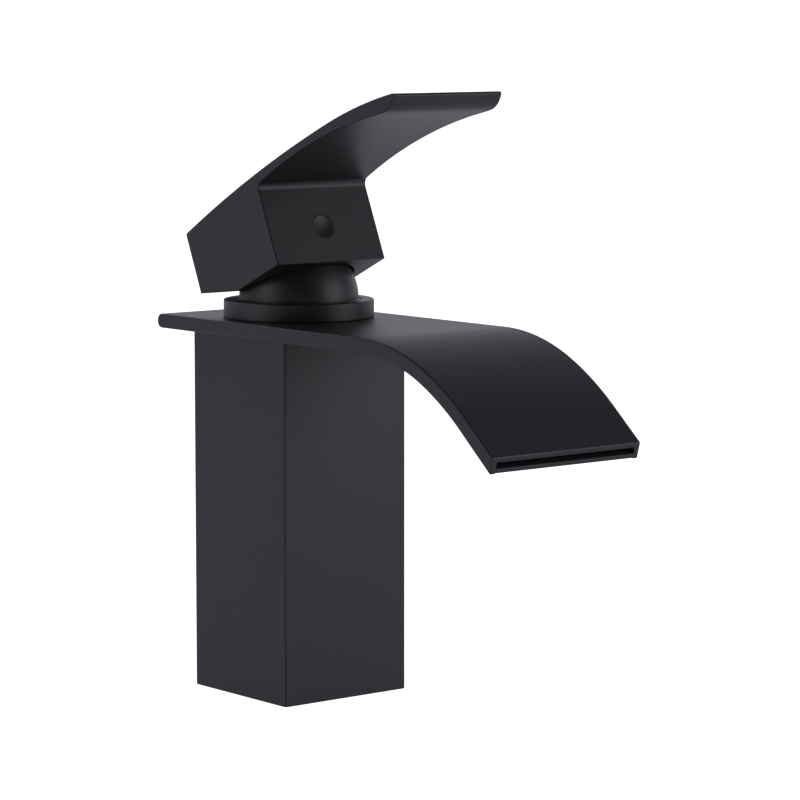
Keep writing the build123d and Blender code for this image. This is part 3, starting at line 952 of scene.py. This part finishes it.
@dataclass
class Spout:
    """The flat plate that carries the water out and lets it fall, in millimetres."""

    paint: PaintShop
    top: float = 112.0
    width: float = 54.0
    thickness: float = 4.3
    skin: float = 1.25
    side_wall: float = 2.0
    rear: float = 35.0
    rear_wall: float = 3.0
    rear_round: float = 2.0
    edge: float = 0.5
    tip_edge: float = 0.7
    fall_start: float = 63.0
    fall_radius: float = 63.5
    fall_angle: float = 26.4
    run_radius: float = 90.0
    run_angle: float = 13.9
    tip_straight: float = 14.4
    tip_undercut: float = 24.0
    seam: float = 0.1
    neck_hole: float = 20.6
    neck_rim: float = 1.4
    port: float = 1.8
    port_place: float = 16.9
    slice_step: float = 1.0
    lip_edge: float = 0.2
    through: Point = (1.0, -8.6)

    def __post_init__(self) -> None:
        """Build the bending tree once."""
        self.rule = bend_rule()

    def end(self, depth: float) -> float:
        """How far along the blank its end lies.

        Args:
            depth: The depth below the top.

        Returns:
            The way from the column's axis.
        """
        arcs = (self.fall_radius * math.radians(self.fall_angle)
                + self.run_radius * math.radians(self.run_angle))
        slant = math.tan(math.radians(self.tip_undercut))
        return self.fall_start + arcs + self.tip_straight + depth * slant

    def box(self, half_width: float, rear: float, high: float, low: float,
            front: float) -> Piece:
        """A block in the flat blank's own space, used as a cutter.

        Args:
            half_width: Half its width.
            rear: Where it starts along the blank.
            high: Its upper side.
            low: Its lower side.
            front: Where it ends along the blank.

        Returns:
            The cutter.
        """
        return slab("cutter", [(rear, high), (front, high), (front, low), (rear, low)],
                    half_width)

    def post(self, radius: float, high: float, low: float, at: Point = (0.0, 0.0)) -> Piece:
        """An upright cylinder in the flat blank's own space.

        Args:
            radius: Its radius.
            high: Its upper end.
            low: Its lower end.
            at: Its place across and along the blank.

        Returns:
            The cylinder.
        """
        middle = Vector((*at, (high + low) / 2)) * MM
        return rod(radius, high - low, Matrix.Translation(middle), 96)

    def bend(self, blank: Piece) -> Piece:
        """Slice a flat blank across where it falls and bend it.

        Args:
            blank: The flat blank.

        Returns:
            The bent piece.
        """
        bm = bmesh.new()
        bm.from_mesh(blank.data)
        way = self.fall_start - 2 * self.slice_step
        while way < self.end(self.thickness):
            everything = bm.verts[:] + bm.edges[:] + bm.faces[:]
            bmesh.ops.bisect_plane(bm, geom=everything, dist=WELD,
                                   plane_co=(0, -way * MM, 0), plane_no=(0, 1, 0))
            way += self.slice_step
        bm.to_mesh(blank.data)
        bm.free()
        self.rule.apply(
            blank, Top=self.top * MM, Start=self.fall_start * MM,
            Fall_Radius=self.fall_radius * MM, Fall_Angle=math.radians(self.fall_angle),
            Run_Radius=self.run_radius * MM, Run_Angle=math.radians(self.run_angle),
            Material=self.paint.made[Finish.MATTE_BLACK])
        return smooth(blank)

    def cover(self) -> None:
        """Make the cover: skin, side walls and rounded rear."""
        outline = round_corners([
            (-self.rear, 0.0, self.rear_round),
            (self.end(0.0), 0.0, self.tip_edge),
            (self.end(self.thickness), -self.thickness, 0.0),
            (-self.rear, -self.thickness, self.rear_round),
        ], 7)
        blank = slab("spout_cover_plate", outline, self.width / 2, self.edge)
        past_end = self.end(self.thickness) + self.thickness
        join(blank, self.box(self.width / 2 - self.side_wall, self.rear_wall - self.rear,
                             -self.skin, self.through[1], past_end))
        join(blank, self.post(self.neck_hole, *self.through))
        self.paint.deliver(self.bend(blank), Finish.MATTE_BLACK, "body", "spout_cover")

    def floor(self) -> None:
        """Make the floor: inset lower plate, rim round the neck and two ports."""
        high = self.thickness - self.skin
        rear = self.rear_wall + self.seam - self.rear
        outline = round_corners([
            (rear, -high, 0.0),
            (self.end(high), -high, self.lip_edge),
            (self.end(self.thickness), -self.thickness, self.lip_edge),
            (rear, -self.thickness, 0.0),
        ], 3)
        blank = slab("spout_floor_plate", outline, self.width / 2 - self.side_wall + SEALED)
        join(blank, self.post(self.neck_hole + self.neck_rim, -self.skin, -high - 0.5), "UNION")
        join(blank, self.post(self.neck_hole, *self.through))
        for side in (-1, 1):
            join(blank, self.post(self.port, *self.through,
                                  (side * self.port_place, -self.port_place)))
        self.paint.deliver(self.bend(blank), Finish.MATTE_BLACK, "body", "spout_floor")

    def build(self) -> None:
        """Make the two plates."""
        self.cover()
        self.floor()


# ------------------------------------------------------ collar ring and dome


@dataclass
class CollarAndDome:
    """The round pieces between the spout plate and the lever, in millimetres."""

    paint: PaintShop
    lathe: Lathe
    plate_top: float = 112.0
    ring_radius: float = 22.4
    ring_bore: float = 20.6
    ring_top: float = 117.3
    ring_lip: float = 1.2
    ring_mouth: float = 18.7
    ring_edge: float = 0.35
    pivot: float = 117.4
    dome_radius: float = 17.8
    dome_wall: float = 1.4
    opening: float = 12.0
    flange: float = 20.4
    flange_low: float = 115.2
    flange_high: float = 116.1
    bead: float = 18.4
    bead_low: float = 116.8
    bead_edge: float = 0.2
    mouth_edge: float = 0.25
    fine_edge: float = 0.15
    foot_edge: float = 0.1

    def ring(self) -> None:
        """Make the collar ring."""
        under_lip = self.ring_top - self.ring_lip
        outline = round_corners([
            (self.ring_bore, self.plate_top, self.fine_edge),
            (self.ring_radius, self.plate_top, self.ring_edge),
            (self.ring_radius, self.ring_top, self.ring_edge),
            (self.ring_mouth, self.ring_top, self.mouth_edge),
            (self.ring_mouth, under_lip, self.fine_edge),
            (self.ring_bore, under_lip, self.fine_edge),
        ], 5)
        ring = self.lathe.turn("clamp_ring", outline, Finish.MATTE_BLACK)
        self.paint.deliver(ring, Finish.MATTE_BLACK, "body", "collar_ring")

    def dome(self) -> None:
        """Make the dome with its skirt, bead and flange."""
        inner = self.dome_radius - self.dome_wall
        middle = (0.0, self.pivot)
        top = math.degrees(math.acos(self.opening / self.dome_radius))
        inner_top = math.degrees(math.acos(self.opening / inner))
        foot = round_corners([
            (inner, self.flange_low, 0.0),
            (self.flange, self.flange_low, self.fine_edge),
            (self.flange, self.flange_high, self.fine_edge),
            (self.dome_radius, self.flange_high, self.foot_edge),
            (self.dome_radius, self.bead_low, 0.0),
            (self.bead, self.bead_low, self.bead_edge),
            (self.bead, self.pivot, self.bead_edge),
        ], 4)
        outline = (foot + arc(middle, self.dome_radius, 0.0, top, 28)
                   + arc(middle, inner, inner_top, -inner_top, 22))
        dome = self.lathe.turn("dome_shell", outline, Finish.MATTE_BLACK)
        self.paint.deliver(dome, Finish.MATTE_BLACK, "body", "dome_cap")

    def build(self) -> None:
        """Make both pieces."""
        self.ring()
        self.dome()


# ---------------------------------------------------------------- the lever


@dataclass
class Lever:
    """The handle and its plug, in millimetres from the pivot in the lowered stance.

    crown and blade hold the radius, first slope and sweep of the upper and the
    lower arc, and brow the radius and sweep of the arc that ends the upper one.
    """

    paint: PaintShop
    lathe: Lathe
    pivot: float = 117.4
    tilt: float = 23.5
    half_width: float = 20.0
    front: float = 19.6
    rear: float = 20.1
    level: float = 4.4
    kink: Point = (-1.8, 4.0)
    rear_level: float = 9.75
    rear_top: float = 28.83
    crown: Triple = (514.0, 7.63, 8.64)
    brow: tuple[float, float] = (165.0, 11.1)
    crease: float = 29.25
    blade: Triple = (175.4, 7.52, 20.0)
    chin: Point = (85.0, 26.0)
    crease_round: float = 2.2
    chin_round: float = 6.0
    tip_round: float = 0.7
    corner_round: float = 1.0
    edge: float = 0.5
    pocket: float = 18.6
    socket: float = 8.1
    socket_top: float = 28.4
    plug_height: float = 15.3
    plug_radius: float = 3.8
    plug_depth: float = 3.0
    plug_play: float = 0.05
    plug_sink: float = 0.12
    plug_bevel: float = 0.3
    plug_edge: float = 0.15
    dish_radius: float = 10.1
    dish_depth: float = 0.65
    screw: float = 2.0

    def stance(self) -> Matrix:
        """The move from the lowered stance at the pivot to the raised rest stance."""
        return (Matrix.Translation((0, 0, self.pivot * MM))
                @ Matrix.Rotation(math.radians(-self.tilt), 4, "X"))

    def outline(self) -> list[Point]:
        """The handle's side outline.

        Returns:
            Forward and height of each point.
        """
        radius, slope, sweep = self.crown
        turn = math.radians(90 + slope)
        crown_center = (-self.rear - radius * math.cos(turn),
                        self.rear_top - radius * math.sin(turn))
        crown = arc(crown_center, radius, 90 + slope, -sweep, 24)
        brow_radius, brow_sweep = self.brow
        brow_turn = math.radians(90 + slope - sweep)
        gap = radius - brow_radius
        brow_center = (crown_center[0] + gap * math.cos(brow_turn),
                       crown_center[1] + gap * math.sin(brow_turn))
        brow = arc(brow_center, brow_radius, 90 + slope - sweep, -brow_sweep, 12)
        blade_radius, blade_slope, blade_sweep = self.blade
        turn = math.radians(90 + blade_slope)
        blade_center = (self.front - blade_radius * math.cos(turn),
                        self.crease - blade_radius * math.sin(turn))
        blade = arc(blade_center, blade_radius, 90 + blade_slope, -blade_sweep, 18)
        plain = [(x, y, 0.0) for x, y in crown[1:] + brow[1:-1]]
        under = [(x, y, 0.0) for x, y in reversed(blade[1:])]
        corners = [(*crown[0], self.corner_round), *plain, (*brow[-1], self.tip_round),
                   (*self.chin, self.chin_round), *under,
                   (self.front, self.crease, self.crease_round),
                   (self.front, self.level, 0.0), (*self.kink, 0.0),
                   (-self.rear, self.rear_level, 0.0)]
        return round_corners(corners, 6)

    def bore(self, radius: float, near: float, far: float) -> Piece:
        """A cutter along the plug's axis.

        Args:
            radius: Its radius.
            near: How far in front of the pivot it starts.
            far: How far in front of the pivot it ends.

        Returns:
            The cutter.
        """
        middle = Vector((0, -(near + far) / 2, self.plug_height)) * MM
        return rod(radius, far - near, Matrix.Translation(middle) @ FORWARD, 64)

    def handle(self) -> None:
        """Make the handle, hollowed for the dome, the stem, the plug and the screw."""
        handle = slab("lever_blade", self.outline(), self.half_width, self.edge)
        ball = bmesh.new()
        bmesh.ops.create_uvsphere(ball, u_segments=128, v_segments=64, radius=self.pocket * MM)
        join(handle, mesh_from("cutter", ball))
        half = self.socket / 2
        join(handle, slab("cutter", [(-half, 0), (half, 0), (half, self.socket_top),
                                     (-half, self.socket_top)], half))
        seat = self.front - self.plug_depth
        join(handle, self.bore(self.plug_radius + self.plug_play, seat, self.front + 1))
        join(handle, self.bore(self.screw, 0.0, seat + 0.1))
        place(smooth(handle), self.stance())
        self.paint.deliver(handle, Finish.MATTE_BLACK, "lever", "lever_handle")

    def plug(self) -> None:
        """Make the dished index plug."""
        rim = math.sqrt(self.dish_radius ** 2 - (self.dish_radius - self.dish_depth) ** 2)
        low = self.dish_radius - self.plug_sink - self.dish_depth
        turn = math.degrees(math.asin(rim / self.dish_radius))
        dish = arc((0.0, low), self.dish_radius, -90 + turn, -turn, 10)
        bevel, rim_edge = self.plug_bevel, self.plug_edge
        outline = [(0.0, -self.plug_depth), (self.plug_radius - bevel, -self.plug_depth),
                   (self.plug_radius, -self.plug_depth + bevel)]
        outline += arc((self.plug_radius - rim_edge, -self.plug_sink - rim_edge), rim_edge,
                       0, 90, 4) + dish
        plug = self.lathe.turn("index_button", outline, Finish.MATTE_BLACK_CAP)
        seat = Matrix.Translation((0, -self.front * MM, self.plug_height * MM))
        place(plug, self.stance() @ seat @ FORWARD)
        self.paint.deliver(plug, Finish.MATTE_BLACK_CAP, "lever", "index_plug")

    def build(self) -> None:
        """Make the handle and the plug."""
        self.handle()
        self.plug()


# ------------------------------------------------------------- the waterway


@dataclass
class Waterway:
    """The screw threads in the base block, in millimetres."""

    paint: PaintShop
    inlet_radius: float = 4.5
    inlet_pitch: float = 1.0
    inlet_depth: float = 12.0
    stud_radius: float = 3.4
    stud_pitch: float = 1.25
    stud_depth: float = 15.0
    ridge: float = 0.34
    run_out: float = 1.5

    def thread(self, rule: Rule, name: str, place_at: Vector, radius: float, pitch: float,
               depth: float) -> None:
        """Wind one thread's ridge up a hole.

        Args:
            rule: The tree that winds it.
            name: The piece's name.
            place_at: The middle of the hole's mouth, in metres.
            radius: The hole's radius.
            pitch: The thread's pitch.
            depth: The hole's depth.
        """
        piece = new_piece(name, bpy.data.meshes.new(name))
        start = place_at + Vector((0, 0, pitch / 2 * MM))
        rule.apply(piece, Radius=radius * MM, Pitch=pitch * MM,
                   Turns=(depth - self.run_out - pitch / 2) / pitch, Ridge=self.ridge * MM,
                   Place=tuple(start), Material=self.paint.made[Finish.BRASS])
        self.paint.deliver(smooth(piece, 70.0), Finish.BRASS, "body")

    def build(self) -> None:
        """Wind the threads where the record puts its inlets and its stud."""
        rule = thread_rule()
        sizes = {"hot_inlet": (self.inlet_radius, self.inlet_pitch, self.inlet_depth),
                 "cold_inlet": (self.inlet_radius, self.inlet_pitch, self.inlet_depth),
                 "fixing_stud": (self.stud_radius, self.stud_pitch, self.stud_depth)}
        for mount in frame["record"]["mounts"]:
            if mount["name"] in sizes:
                self.thread(rule, f"{mount['name']}_thread", Vector(mount["pos_m"]),
                            *sizes[mount["name"]])


# --------------------------------------------------------------- the studio


@dataclass(frozen=True)
class Softbox:
    """A rectangular light: its name, place, width and height, and power in watts."""

    name: str
    place: Triple
    size: Point
    watts: float


@dataclass
class Studio:
    """A pale floor, soft light from behind and both sides, and a still camera.

    The two numbers of table_glow are the floor's glow in reflections and to the
    eye.  Each pair in around and above is a lean, towards the eye's side or
    upwards, and the room's brightness there.
    """

    eye: Triple = (-0.6087, -0.8020, 0.2042)
    yaw: float = 38.909
    pitch: float = 6.649
    lens: float = 152.72
    sensor: float = 36.0
    cool: Triple = (0.97, 0.985, 1.04)
    table_glow: Point = (0.32, 1.1)
    around: tuple[Point, ...] = ((-1.0, 1.10), (-0.2, 0.32), (0.35, 0.52), (0.75, 0.06))
    above: tuple[Point, ...] = ((0.0, 1.0), (0.12, 0.9), (0.45, 0.45), (1.0, 0.40))
    aim: Triple = (0.0, 0.0, 0.1)
    boxes: tuple[Softbox, ...] = (
        Softbox("rear_box", (-0.2, 1.0, 0.9), (0.4, 0.3), 1.2),
        Softbox("left_box", (-1.27, 0.25, 0.45), (0.8, 0.9), 2.6),
        Softbox("right_box", (0.72, -1.05, 0.36), (0.8, 0.8), 3.8))
    floor_radius: float = 8.0

    def camera(self) -> None:
        """Set the camera up."""
        data = bpy.data.cameras.new("camera")
        data.lens = self.lens
        data.sensor_width = self.sensor
        camera = bpy.data.objects.new("camera", data)
        camera.location = self.eye
        camera.rotation_euler = (math.radians(90 - self.pitch), 0, -math.radians(self.yaw))
        bpy.context.scene.collection.objects.link(camera)
        bpy.context.scene.camera = camera

    def hang(self, box: Softbox) -> None:
        """Hang one softbox, facing the mixer.

        Args:
            box: The softbox.
        """
        data = bpy.data.lights.new(box.name, "AREA")
        data.shape = "RECTANGLE"
        data.size, data.size_y = box.size
        data.energy = box.watts
        data.color = self.cool
        lamp = bpy.data.objects.new(box.name, data)
        lamp.location = box.place
        facing = Vector(self.aim) - Vector(box.place)
        lamp.rotation_euler = facing.to_track_quat("-Z", "Y").to_euler()
        lamp.visible_camera = False
        bpy.context.scene.collection.objects.link(lamp)

    def world(self) -> None:
        """Light the room: dim overhead and in front, brighter low down beside and behind."""
        world = bpy.data.worlds.new("room")
        world.use_nodes = True
        bpy.context.scene.world = world
        wires = Wiring(world.node_tree)
        front = Vector((self.eye[0], self.eye[1], 0)).normalized()
        around = self.leaning(wires, front, self.around)
        above = self.leaning(wires, Vector((0, 0, 1)), self.above)
        both = wires.add("ShaderNodeMixRGB", blend_type="MULTIPLY", Fac=1.0)
        room = wires.add("ShaderNodeBackground")
        plain = wires.add("ShaderNodeBackground", Color=(1, 1, 1, 1))
        rays = wires.add("ShaderNodeLightPath")
        chosen = wires.add("ShaderNodeMixShader")
        output = wires.add("ShaderNodeOutputWorld")
        wires.link(around, "Color", both, "Color1")
        wires.link(above, "Color", both, "Color2")
        wires.link(both, "Color", room, "Color")
        wires.link(rays, "Is Camera Ray", chosen, 0)
        wires.link(room, 0, chosen, 1)
        wires.link(plain, 0, chosen, 2)
        wires.link(chosen, 0, output, 0)

    def leaning(self, wires: Wiring, toward: Vector, stops: tuple[Point, ...]) -> Node:
        """A brightness that depends on how far a direction leans to another.

        Args:
            wires: The world's tree.
            toward: The direction that counts as 1.
            stops: Pairs of lean, from -1 to 1, and brightness.

        Returns:
            The ramp, whose output is Color.
        """
        lean = wires.add("ShaderNodeVectorMath", operation="DOT_PRODUCT")
        lean.inputs[1].default_value = toward
        wires.link(wires.add("ShaderNodeTexCoord"), "Generated", lean, 0)
        tones = tuple(((position + 1) / 2, tuple(light * tone for tone in self.cool))
                      for position, light in stops)
        return wires.ramp(wires.ranged(lean, "Value", (-1, 1), (0, 1)), tones, "EASE")

    def floor(self) -> None:
        """Lay the pale floor, a softly lit table."""
        bm = bmesh.new()
        bmesh.ops.create_circle(bm, cap_ends=True, segments=96, radius=self.floor_radius)
        floor = mesh_from("floor", bm)
        bench = Bench("pale_floor")
        cloud = bench.noise(3.0, 2.0)
        bench.tint(cloud, (0.78, 0.79, 0.82), (0.81, 0.82, 0.85))
        rays = bench.add("ShaderNodeLightPath")
        glow = bench.ranged(rays, "Is Camera Ray", (0, 1), self.table_glow)
        bench.link(glow, "Result", bench.shader, "Emission Strength")
        bench.set(Roughness=0.9, Emission_Color=(*self.cool, 1))
        floor.data.materials.append(bench.material)

    def build(self) -> None:
        """Set the whole studio up."""
        scene = bpy.context.scene
        scene.view_settings.view_transform = "Standard"
        self.camera()
        self.world()
        self.floor()
        for box in self.boxes:
            self.hang(box)


def main() -> None:
    """Build the mixer piece by piece."""
    logging.basicConfig(level=logging.INFO, format="%(message)s")
    Studio().build()
    paint = PaintShop()
    paint.dress_frame()
    lathe = Lathe(paint)
    Column(paint).build()
    Spout(paint).build()
    CollarAndDome(paint, lathe).build()
    Lever(paint, lathe).build()
    Waterway(paint).build()


if __name__ == "__main__":
    main()
